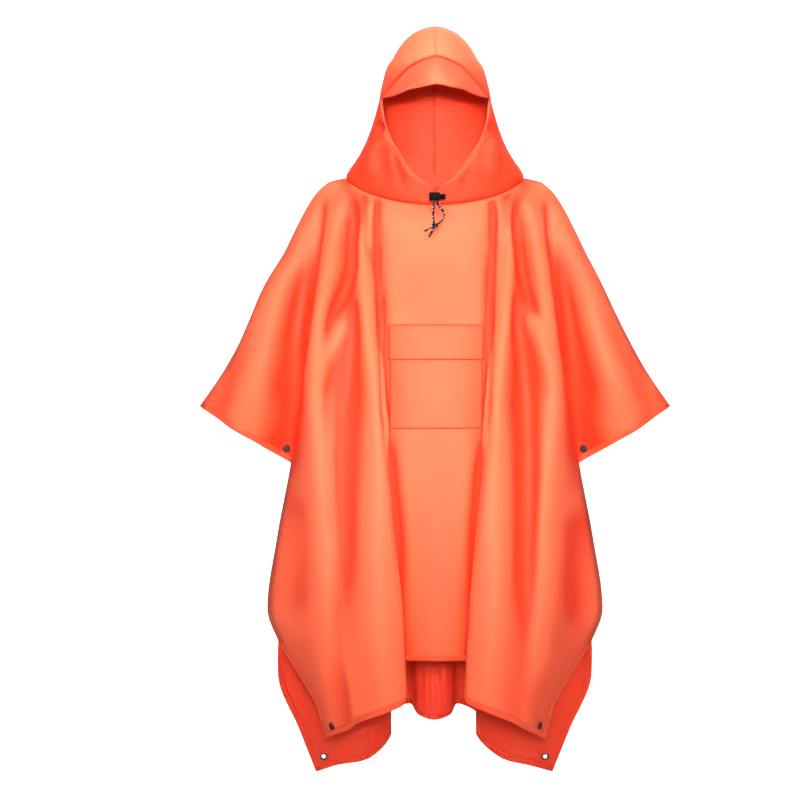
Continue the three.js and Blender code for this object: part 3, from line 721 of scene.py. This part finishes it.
# Ridges and troughs of the front: height, width, line of (x, z)
front_creases = [
    (-17, 14, [
        (-160, -16), (-158, -80), (-164, -138), (-162, -177), (-174, -224), (-197, -269), (-230, -360),
    ]),
    (-10, 14, [(-158, -215), (-156, -312), (-161, -380), (-165, -450)]),
    (-10, 25, [(-160, -340), (-164, -480), (-167, -600), (-170, -760), (-172, -920)]),
    (-7, 8, [(-137, -28), (-138, -68), (-133, -110), (-122, -165), (-116, -215)]),
    (6, 13, [(-148, -60), (-146, -178), (-139, -273), (-127, -351), (-117, -430), (-113, -560)]),
    (9, 14, [(-166, -277), (-189, -316), (-212, -370), (-228, -409)]),
    (12, 20, [
        (-189, -54), (-197, -138), (-212, -216), (-226, -293), (-231, -370), (-235, -447), (-238, -620),
    ]),
    (15, 31, [(-276, -130), (-312, -254), (-335, -332), (-357, -408), (-384, -500), (-400, -560)]),
    (-6, 15, [(-240, -90), (-322, -235), (-386, -351), (-412, -418)]),
    (9, 14, [(-214, -44), (-298, -190), (-392, -372), (-446, -456)]),
    (-5, 24, [(-258, -170), (-290, -312), (-302, -389), (-318, -490)]),
    (-16, 13, [(156, -19), (158, -100), (166, -169), (174, -223), (183, -254), (193, -300)]),
    (-9, 13, [(154, -215), (155, -290), (163, -360), (174, -450)]),
    (-10, 24, [(162, -350), (168, -480), (168, -620), (166, -760), (168, -920)]),
    (-4, 10, [(137, -23), (136, -70), (128, -130)]),
    (6, 12, [(143, -62), (140, -177), (133, -273), (120, -370), (113, -447), (108, -570)]),
    (8, 12, [(172, -262), (192, -310), (214, -370), (226, -420)]),
    (12, 20, [(181, -60), (200, -177), (204, -254), (212, -331), (223, -408), (227, -486), (229, -620)]),
    (15, 30, [(262, -140), (300, -292), (339, -389), (372, -466), (400, -550)]),
    (-6, 15, [(238, -86), (320, -232), (386, -350), (412, -416)]),
    (9, 14, [(214, -44), (298, -190), (392, -372), (446, -456)]),
    (-5, 23, [(256, -190), (284, -312), (304, -400), (316, -490)]),
    (-11, 8, [(-111, -34), (-112, -90), (-108, -200), (-104, -290), (-102, -360)]),
    (-8, 5, [(-106, -200), (-103, -300), (-101, -394), (-97, -450), (-90, -520)]),
    (-8, 9, [(-99, -400), (-90, -490), (-80, -580), (-70, -700), (-62, -860)]),
    (-11, 8, [(108, -32), (108, -90), (103, -200), (100, -290), (98, -360)]),
    (-8, 5, [(102, -200), (99, -300), (98, -394), (94, -450), (87, -520)]),
    (-8, 9, [(96, -400), (88, -490), (78, -580), (70, -700), (62, -860)]),
    (-9, 6, [(-212, -30), (-219, -90), (-226, -200), (-240, -320), (-262, -440), (-280, -540)]),
    (-9, 6, [(213, -30), (217, -90), (221, -200), (238, -320), (260, -440), (281, -550)]),
    (-6, 22, [(-262, -590), (-258, -740), (-268, -890)]),
    (-6, 24, [(266, -620), (262, -780), (270, -900)]),
    (5, 22, [(-120, -640), (-108, -830), (-92, -970)]),
    (5, 22, [(122, -660), (108, -850), (90, -980)]),
    (6, 24, [(-214, -640), (-208, -820), (-196, -980)]),
    (6, 24, [(216, -660), (210, -840), (194, -990)]),
]
eyelet_spots = {"front": (197.5, -1052), "back": (220, -1141)}
eyelet_hole = 6


def beside_pocket(x, z):
    return ease(max(abs(x) - 91, (z + 270) / 5, (-504 - z) / 9), -2, 6)


def find_eyelets(bm, name, face):
    """Where the eyelets of a panel sit, and its outward directions there."""
    skin = BVHTree.FromBMesh(bm)
    out, down = eyelet_spots[name]
    return [
        skin.ray_cast(Vector((side * out, face * 900, down)) * mm, Vector((0, -face, 0)))[:2]
        for side in (-1, 1)
    ]


front = Panel(front_folds, front_corner, -1)
front_mesh = panel_mesh(front, front_creases, beside_pocket)
front_skin = BVHTree.FromBMesh(front_mesh)
front_eyelets = find_eyelets(front_mesh, "front", -1)
for place, _ in front_eyelets:
    punch(front_mesh, place, eyelet_hole)
front_piece = cloth_piece("poncho_front", front_mesh, cloth_wall, stands_for=["front_panel"])
front_hem, front_stitches = hem_and_stitches("poncho_front", front, front_skin)

# Back panel: the same cloth, cut longer and hemmed the same way. It hangs from the nape and the
# shoulder line in two pipes beside the spine, with a broad lobe curling in towards each corner.
back_corner = [(-971, 308, 40), (-1085, 268, 84), (-1172, 235, 104)]
back_folds = {
    "centre": (0, 0, [0, 0, 0, 0, 0, 0, 0], [110, 122, 126, 124, 120, 118, 118], (0, 118, -1071)),
    "inner": (0.14, 0, [32, 33, 33, 33, 33, 32, 32], [114, 128, 133, 133, 131, 131, 133], (32, 134, -1062)),
    "ridge": (0.3, 2, [64, 62, 58, 56, 54, 51, 49], [122, 142, 150, 156, 160, 164, 166], (47, 168, -1044)),
    "root": (0.44, 3, [94, 99, 101, 101, 100, 97, 96], [120, 139, 145, 148, 151, 154, 155], (95, 156, -1068)),
    "lip": (0.5, 3, [106, 108, 105, 102, 96, 88, 85], [112, 127, 128, 128, 126, 124, 124], (84, 124, -1100)),
    "lobe": (
        0.66, -4, [138, 145, 148, 150, 148, 140, 136], [98, 112, 114, 112, 106, 100, 98], (133, 97, -1144),
    ),
    "outer": (
        1.17, 5, [192, 208, 216, 222, 224, 212, 200], [94, 112, 118, 114, 104, 94, 92], (188, 92, -1158),
    ),
}
back_creases = [
    (-7, 14, [(-150, -10), (-152, -90), (-160, -180), (-176, -270)]),
    (-5, 22, [(-176, -300), (-182, -460), (-186, -640), (-190, -820)]),
    (6, 22, [(-212, -70), (-226, -200), (-236, -340), (-240, -500)]),
    (8, 26, [(-282, -160), (-314, -262), (-344, -352), (-368, -446)]),
    (-6, 15, [(-252, -110), (-330, -242), (-392, -352)]),
    (-6, 24, [(-262, -190), (-290, -310), (-308, -420), (-318, -490)]),
    (-7, 13, [(152, -12), (156, -100), (168, -190), (186, -262)]),
    (-5, 24, [(172, -280), (180, -440), (184, -620), (188, -860)]),
    (6, 20, [(208, -80), (220, -210), (230, -350), (236, -520)]),
    (8, 24, [(270, -150), (306, -270), (340, -360), (370, -452)]),
    (-6, 14, [(248, -104), (324, -236), (388, -348)]),
    (-6, 22, [(260, -196), (288, -316), (306, -430)]),
    (-4, 22, [(-26, -40), (-34, -220), (-24, -430)]),
    (-4, 20, [(30, -60), (26, -290), (34, -560)]),
    (3, 20, [(-76, -60), (-72, -200), (-64, -380)]),
    (3, 22, [(78, -50), (70, -220), (62, -420)]),
    (-4, 20, [(-110, -820), (-104, -960), (-96, -1080)]),
    (-4, 22, [(112, -780), (106, -940), (98, -1090)]),
    (5, 26, [(-160, -860), (-164, -980), (-170, -1110)]),
    (5, 24, [(158, -880), (164, -1000), (172, -1120)]),
]
back = Panel(back_folds, back_corner, 1)
back_mesh = panel_mesh(back, back_creases, lambda x, z: 1)
back_skin = BVHTree.FromBMesh(back_mesh)
back_eyelets = find_eyelets(back_mesh, "back", 1)
for place, _ in back_eyelets:
    punch(back_mesh, place, eyelet_hole)
back_piece = cloth_piece("poncho_back", back_mesh, cloth_wall, stands_for=["back_panel"])
back_hem, back_stitches = hem_and_stitches("poncho_back", back, back_skin)

# Hood: a left and a right panel of the same cloth, sewn together over the crown, down the back and
# at the throat, and onto the neck ring. Its face edge is turned in as a casing for the drawcord.
hood_form = [
    (-60, 174, 95, 78), (0, 174, 102, 78), (14, 168, 108, 82), (31, 156, 116, 86), (66, 136, 128, 94),
    (113, 119, 136, 102), (154, 108, 136, 106), (207, 95, 128, 102), (236, 80, 112, 92), (254, 69, 98, 82),
    (277, 47, 70, 58), (289, 25, 40, 30), (295, 4, 8, 6), (296.5, 0, 0, 0),
]
face_edge = [
    (-26, 0), (-19, 17), (4, 44), (42, 71), (103, 102), (149, 103), (167, 86), (184, 69), (202, 50),
    (212, 30), (220, 10), (222, 0),
]
hood_columns = 72
cheek_dent = {-1: 9, 1: 7}


def hood_point(height, angle):
    share = angle / math.pi
    turn = share * 2 if share < 0.5 else 2 - share * 2
    ring = neck_point(turn, -1 if share < 0.5 else 1)
    fade = min(max(1 - height / 64, 0), 1) ** 1.6
    z = height + ring.z * fade
    if height == 0:
        return ring
    depth = column(hood_form, z, 2 if share < 0.5 else 3)
    return Vector((column(hood_form, z, 1) * math.sin(angle), -depth * math.cos(angle), z))


def edge_angle(height):
    angle = 0
    for _ in range(12):
        z = hood_point(height, angle).z
        if z < face_edge[0][0] or z > face_edge[-1][0]:
            return 0
        angle = math.asin(min(column(face_edge, z, 1) / column(hood_form, z, 1), 1))
    return angle


def evenly(start, end, steps):
    return [start + (end - start) * n / steps for n in range(steps)]


hood_heights = [
    *evenly(0, 12, 4), *evenly(12, 28, 12), *evenly(28, 196, 44), *evenly(196, 222, 16),
    *evenly(222, 288, 18), *evenly(288, 296.5, 6), 296.5,
]


def hood_side_point(height, angle, side):
    point = tucked(hood_point(height, angle), height, 1)
    near = math.exp(-((angle - 1.12) / 0.14) ** 2 - ((point.z - 82) / 32) ** 2)
    point.x = max(point.x - cheek_dent[side] * near, 0) * side
    return point


def face_edge_at(height, side):
    """A point on the edge round the face, and the direction from it into the cloth."""
    start = edge_angle(height)
    point = hood_side_point(height, start, side)
    inner = hood_side_point(height, start + (math.pi - start) / 12, side)
    return point, (inner - point).normalized()


arch_seam = [
    (-125, 127), (-103, 149), (-86, 167), (-69, 184), (-50, 202), (-30, 212), (-10, 220), (0, 221.5),
    (10, 220), (30, 212), (50, 202), (69, 184), (86, 167), (103, 149), (125, 127),
]
hood_creases = [
    (-7, 6, [(-80, 58), (-74, 24), (-69, -4), (-62, -36)]),
    (-7, 8, [(-110, 104), (-98, 82), (-86, 56)]),
    (-3, 9, [(-150, 60), (-152, 20), (-148, -20)]),
    (3, 12, [(-128, 70), (-122, 30), (-112, -22)]),
    (-3, 12, [(-100, 60), (-100, 24), (-94, -30)]),
    (-7, 6, [(68, 62), (63, 24), (59, -4), (50, -34)]),
    (-7, 8, [(110, 104), (100, 80), (92, 54)]),
    (-3, 10, [(132, 64), (134, 24), (128, -16)]),
    (3, 12, [(112, 76), (104, 36), (96, -20)]),
    (2.5, 18, [(-84, 232), (-100, 190), (-112, 140)]),
    (2.5, 18, [(84, 230), (98, 186), (112, 136)]),
    (-2.5, 3, arch_seam),
]
hood_back_creases = [
    (-3, 12, [(-120, 80), (-128, 40), (-136, 6)]),
    (-3, 10, [(-60, 70), (-64, 36), (-68, 8)]),
    (-3, 12, [(116, 90), (126, 44), (132, 8)]),
    (-3, 10, [(48, 64), (52, 34), (54, 8)]),
    (3, 20, [(-40, 250), (-66, 200), (-84, 130)]),
    (3, 20, [(42, 246), (64, 196), (80, 120)]),
]


def hood_painted_shade(x, y, z):
    """The hood's painted shade and light on its front: painted shade below the visor, painted light toward
    the crown, and a painted shadow along the visor's seam.
    """
    shade = 2.2 * ease(z, 120, 250) - 1.35 - 2.6 * crease_height([(1, 4, arch_seam)], x, z)
    return shade * (1 - ease(y, -40, 10))


hood_skins = {}
casing_wide = 15
for side, name in ((-1, "hood_left"), (1, "hood_right")):
    starts = [edge_angle(height) for height in hood_heights]
    bm = bmesh.new()

    def on_hood(c, r):
        angle = starts[r] + (math.pi - starts[r]) * c / hood_columns
        return hood_side_point(hood_heights[r], angle, side)

    lay_grid(bm, hood_columns, len(hood_heights) - 1, on_hood, side > 0)
    bmesh.ops.remove_doubles(bm, verts=bm.verts, dist=0.02 * mm)
    # The hood's creases, with its painted shade and light.
    press_creases(
        bm, hood_creases, hood_back_creases,
        lambda x, z: ease(z, -60, -20) if abs(x) < 60 else 1, hood_painted_shade,
    )
    skin = BVHTree.FromBMesh(bm)
    hood_skins[side] = skin
    piece = cloth_piece("poncho_" + name, bm, cloth_wall, stands_for=[name])
    casing, stitches = bmesh.new(), bmesh.new()
    edge = []
    for height in [*evenly(15, 30, 8), *evenly(30, 148, 26), 148]:
        point, inward = face_edge_at(height, side)
        edge.append((point, point + inward * casing_wide))
    lay_band(casing, skin, edge, 1.5)
    turn_outwards(casing, skin)
    sew(stitches, skin, [a.lerp(b, 0.96) for a, b in edge], 0.6)

    def beside_seam(heights, angle):
        return [hood_side_point(height, angle, side) + Vector((side * 3, 0, 0)) for height in heights]

    top = [222 + 74 * n / 16 for n in range(16)]
    nape = [*top[::-1], *[220 - 11 * n for n in range(20)]]
    sew(stitches, skin, beside_seam(top, 0.0) + beside_seam(nape, math.pi), 0.25)
    casing_piece = cloth_piece("poncho_" + name + "_casing", casing, 1.2 * mm)
    stitch_piece = thread_piece("poncho_" + name + "_stitches", stitches)

# Visor: the same cloth in two layers round a stiff plastic insert. Its upper edge is sewn into the
# arch over the face opening, and its free edge juts forward and down over the face.
visor_reach = 58
visor_bulge = 7
visor_wall = 1.6 * mm
visor_heights = [*evenly(149, 200, 14), *evenly(200, 222, 10)]
visor_rows = [0, 0.012, 0.028, 0.05, *[0.09 + 0.91 * n / 10 for n in range(11)]]
arch = [face_edge_at(height, -1) for height in [*visor_heights, 222]]
arch += [face_edge_at(height, 1) for height in visor_heights[::-1]]


def on_visor(c, t):
    point, inward = arch[c]
    level = max(0, 1 - (abs(point.x) / 103) ** 2.2)
    bulge = math.sin(math.pi * t) * visor_bulge * level
    gap = 0.5 + t * 1.5
    y = 2.5 * math.exp(-(t / 0.03) ** 2) - gap - t * visor_reach * level - bulge * 0.6
    z = -gap - t * visor_reach * level ** 1.05 + bulge
    return point - 0.4 * inward + Vector((0, y, z))


bm = bmesh.new()
lay_grid(bm, len(arch) - 1, len(visor_rows) - 1, lambda c, r: on_visor(c, visor_rows[r]), False)
arch_faces = [(n, n + 1, n) for n in range(len(arch) - 1)]
arch_line = BVHTree.FromPolygons([point * mm for point, _ in arch], arch_faces)
# A painted shadow along the visor's seam with the hood's arch, carried in the fold attribute.
seam_shade = bm.verts.layers.float.new("fold")
for vert in bm.verts:
    vert[seam_shade] = -1.6 * math.exp(-(arch_line.find_nearest(vert.co)[3] / (5 * mm)) ** 2)
visor_skin = BVHTree.FromBMesh(bm)
visor_stitch_mesh = bmesh.new()
for share in (0.1, 0.88):
    sew(visor_stitch_mesh, visor_skin, [on_visor(c, share) for c in range(len(arch))], 0.15)
visor_piece = new_piece("poncho_visor", bm)
# The same cloth with a darker deep colour, for the painted shadow along its seam.
visor_cloth = coated_cloth("visor_cloth", (0.94, 0.150, 0.070), (0.66, 0.030, 0.010))
visor_piece.data.materials.append(visor_cloth)
visor_piece.data.materials.append(inner_cloth)
add_cloth_wall(visor_piece, visor_wall)
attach(visor_piece, "root")
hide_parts("visor")
visor_stitches = thread_piece("poncho_visor_stitches", visor_stitch_mesh)

# Chest pocket: a rectangle of the same cloth sewn flat on the front along three sides, with its
# upper edge under a flap that is sewn on above it and closes over it.
pocket_half, pocket_top, pocket_bottom = 88, -306, -487.5
flap_half, flap_top, flap_bottom = 90, -289.5, -357.5


def bordered(start, end, steps):
    """Even steps, and three close ones at each end."""
    close = [1.2, 2.6, 4.5]
    sign = 1 if end > start else -1
    middle = [start + sign * 7 + (end - start - sign * 14) * n / steps for n in range(steps + 1)]
    return [start, *[start + sign * c for c in close], *middle, *[end - sign * c for c in close[::-1]], end]


def on_front(half, top, bottom, columns, rows, lift):
    """A cloth laid on the front, its edges turned under all round, with painted shade along its edges and a
    little painted light on the rest.
    """
    bm = bmesh.new()
    xs, zs = bordered(-half, half, columns), bordered(top, bottom, rows)
    fold = bm.verts.layers.float.new("fold")

    def to_edge(x, z):
        return min(half - abs(x), top - z, z - bottom)

    def lifted(c, r):
        x, z = xs[c], zs[r]
        point = front.at(x, z)
        right = front.at(x + 1, z) - front.at(x - 1, z)
        up = front.at(x, z + 1) - front.at(x, z - 1)
        rolled = 1.3 * math.exp(-(to_edge(x, z) / 1.6) ** 2)
        return point + right.cross(up).normalized() * (lift(x, z) - rolled)

    # Painted shade along the edges and a little painted light on the rest, in the fold attribute.
    for vert in lay_grid(bm, len(xs) - 1, len(zs) - 1, lifted, False):
        x, _, z = vert.co / mm
        vert[fold] = 0.25 - 1.25 * math.exp(-(max(to_edge(x, z), 0) / 2.4) ** 2)
    return bm


def box_path(half, low, high):
    """A stitch line down one side, along the bottom and up the other."""
    return [Vector((x, -300, z)) for x, z in (
        [(-half, high + (low - high) * n / 12) for n in range(12)]
        + [(-half + 2 * half * n / 24, low) for n in range(24)]
        + [(half, low + (high - low) * n / 12) for n in range(13)]
    )]


def onto(skin, path):
    """The path moved straight back onto a skin."""
    return [skin.ray_cast(Vector((p.x, -900, p.z)) * mm, Vector((0, 1, 0)))[0] / mm for p in path]


pocket_mesh = on_front(pocket_half, pocket_top, pocket_bottom, 36, 36, lambda x, z: 2.2)
pocket_skin = BVHTree.FromBMesh(pocket_mesh)
pocket_sewing = bmesh.new()
for inset in (2.5, 8):
    line = box_path(pocket_half - inset, pocket_bottom + inset, pocket_top - 8)
    sew(pocket_sewing, pocket_skin, onto(pocket_skin, line), 0.2)
lower_seam = [Vector((x, 0, pocket_bottom + 28)) for x in range(-84, 85, 7)]
sew(pocket_sewing, pocket_skin, onto(pocket_skin, lower_seam), 0.2)
pocket_piece = cloth_piece("poncho_pocket", pocket_mesh, 1.2 * mm, stands_for=["pocket"])
pocket_stitches = thread_piece("poncho_pocket_stitches", pocket_sewing)


def flap_lift(x, z):
    """The flap stands off the pocket, most in the middle of its lower edge."""
    down = flap_top - z
    return 2.2 + 2.3 * ease(down, 0, 7) + 2.5 * ease(down, 30, 68) * (1 - (x / 95) ** 2)


flap_mesh = on_front(flap_half, flap_top, flap_bottom, 40, 16, flap_lift)
flap_skin = BVHTree.FromBMesh(flap_mesh)
flap_sewing = bmesh.new()
for drop in (2.5, 8):
    line = [Vector((x, 0, flap_top - drop)) for x in range(-86, 87, 7)]
    sew(flap_sewing, flap_skin, onto(flap_skin, line), 0.2)
flap_edge = box_path(flap_half - 4, flap_bottom + 4, flap_top - 10)
sew(flap_sewing, flap_skin, onto(flap_skin, flap_edge), 0.2)
flap_piece = cloth_piece("poncho_pocket_flap", flap_mesh, 1.4 * mm, stands_for=["pocket_flap"])
flap_stitches = thread_piece("poncho_pocket_flap_stitches", flap_sewing)

# Eyelets: two-part rolled rings of dark brass, one clinched through the cloth near each corner of
# the hem, for guying the poncho out.
dark_brass, add, brass_shader, place = new_surface("dark_brass")
tarnish = add("TexNoise", {"Vector": place, "Scale": 240, "Detail": 4}).outputs["Fac"]
brass_tint = add_tint(add, (0.10, 0.05, 0.03), (0.30, 0.17, 0.10), tarnish)
brass_rough = add("MapRange", {"Value": tarnish, "To Min": 0.25, "To Max": 0.5})
fill(brass_shader, {"Metallic": 1, "Base Color": brass_tint, "Roughness": brass_rough.outputs["Result"]})

eyelet_section = [
    (4.3, 0.9), (4.7, 1.25), (5.4, 1.45), (6.4, 1.35), (7.5, 0.95), (8.1, 0.5), (8.1, 0.2), (5.2, 0.1),
    (5.2, -2.3), (7.4, -2.4), (7.5, -2.8), (6.6, -3.25), (5.4, -3.4), (4.6, -3.2), (4.3, -2.7),
]


def turn_section(bm, section, place, direction, steps, closed=False):
    """A ring or cap: a section of (radius, height) turned about a direction."""
    old = set(bm.verts)
    verts = [bm.verts.new((radius * mm, 0, height * mm)) for radius, height in section]
    pairs = list(zip(verts, verts[1:])) + ([(verts[-1], verts[0])] if closed else [])
    edges = [bm.edges.new(pair) for pair in pairs]
    bmesh.ops.spin(
        bm, geom=verts + edges, cent=(0, 0, 0), axis=(0, 0, 1), angle=2 * math.pi, steps=steps,
        use_merge=True,
    )
    bmesh.ops.remove_doubles(bm, verts=[v for v in bm.verts if v not in old], dist=0.001 * mm)
    made = [v for v in bm.verts if v not in old]
    turn = direction.to_track_quat("Z", "Y").to_matrix().to_4x4()
    bmesh.ops.transform(bm, matrix=Matrix.Translation(place) @ turn, verts=made)
    bmesh.ops.recalc_face_normals(bm, faces=list({f for v in made for f in v.link_faces}))


for panel_name, spots in (("front", front_eyelets), ("back", back_eyelets)):
    for side_name, (place, normal) in zip(("left", "right"), spots):
        bm = bmesh.new()
        turn_section(bm, eyelet_section, place, normal, 40, closed=True)
        ring = new_piece(f"eyelet_ring_{panel_name}_{side_name}", bm)
        ring.data.materials.append(dark_brass)
        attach(ring, "root")
        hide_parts(f"eyelet_{panel_name}_{side_name}")

# Press studs: moulded black caps outside each half of the sleeve's bottom edge, with a post through
# the cloth to the socket or ball inside.
black_plastic, add, plastic_shader, place = new_surface("moulded_black_plastic")
mould_grain = add("TexNoise", {"Vector": place, "Scale": 900}).outputs["Fac"]
plastic_tint = add_tint(add, (0.002, 0.0015, 0.002), (0.006, 0.005, 0.006), mould_grain)
plastic_rough = add("MapRange", {"Value": mould_grain, "To Min": 0.26, "To Max": 0.4})
plastic_bump = add("Bump", {"Height": mould_grain, "Strength": 0.15, "Distance": 0.1 * mm})
fill(plastic_shader, {
    "Specular IOR Level": 0.12, "Base Color": plastic_tint, "Roughness": plastic_rough.outputs["Result"],
    "Normal": plastic_bump.outputs["Normal"],
})

for panel_name, face in (("front", -1), ("back", 1)):
    for side_name in ("left", "right"):
        node = f"stud_{panel_name}_{side_name}"
        low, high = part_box(node)
        middle_x, middle_z = (low[0] + high[0]) / 2, (low[2] + high[2]) / 2
        cap_y = low[1] if face < 0 else high[1]
        depth = (high[1] - low[1]) / mm
        section = [
            (0, 0.0), (1.6, -0.1), (2.2, -0.5), (3.0, -0.15), (4.6, -0.25), (6.2, -0.8), (7.2, -1.6),
            (7.5, -2.2), (7.2, -2.6), (2.4, -2.7), (2.4, -5.0), (5.4, -5.1), (5.6, -5.6),
            (5.6, 0.4 - depth), (5.2, -depth),
            (0, -depth),
        ]
        bm = bmesh.new()
        turn_section(bm, section, Vector((middle_x, cap_y, middle_z)), Vector((0, face, 0)), 36)
        cap = new_piece(f"press_stud_{panel_name}_{side_name}", bm)
        cap.data.materials.append(black_plastic)
        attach(cap, "root")
        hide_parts(node)

# Cord lock: a moulded barrel with two raised collars, and a ribbed push button that a spring holds
# out of one end. Both cords pass through it across its axis.
low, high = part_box("cord_lock")
lock_y, lock_z = (low[1] + high[1]) / 2, (low[2] + high[2]) / 2
barrel_section = [
    (0, 0), (6.2, 0), (7.6, 0.4), (8.4, 1.4), (8.6, 2.4), (8.6, 3.4), (9.0, 3.8), (9.0, 6.0), (8.5, 6.4),
    (8.2, 7.2), (8.2, 13.6), (8.5, 14.4), (9.0, 14.8), (9.0, 18.2), (8.6, 19.8), (7.6, 20.8), (6.6, 21),
    (6.5, 19.6), (0, 19.6),
]
bm = bmesh.new()
turn_section(bm, barrel_section, Vector((low[0], lock_y, lock_z)), Vector((1, 0, 0)), 40)
barrel = new_piece("cord_lock_barrel", bm)
button_low, button_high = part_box("cord_lock_button")
button_long = (button_high[0] - button_low[0]) / mm
button_section = [
    (0, 0), (5.4, 0), (5.4, button_long - 7.2), (6, button_long - 6.8), (6, button_long - 5.6),
    (5.5, button_long - 5.2), (5.5, button_long - 4.4), (6, button_long - 4), (6, button_long - 2.8),
    (5.7, button_long - 1.2), (4.6, button_long - 0.3), (2.6, button_long), (0, button_long),
]
bm = bmesh.new()
turn_section(bm, button_section, Vector((button_low[0], lock_y, lock_z)), Vector((1, 0, 0)), 36)
button = new_piece("cord_lock_push_button", bm)
for piece, node in ((barrel, "cord_lock"), (button, "cord_lock_button")):
    piece.data.materials.append(black_plastic)
    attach(piece, "root")
    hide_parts(node)
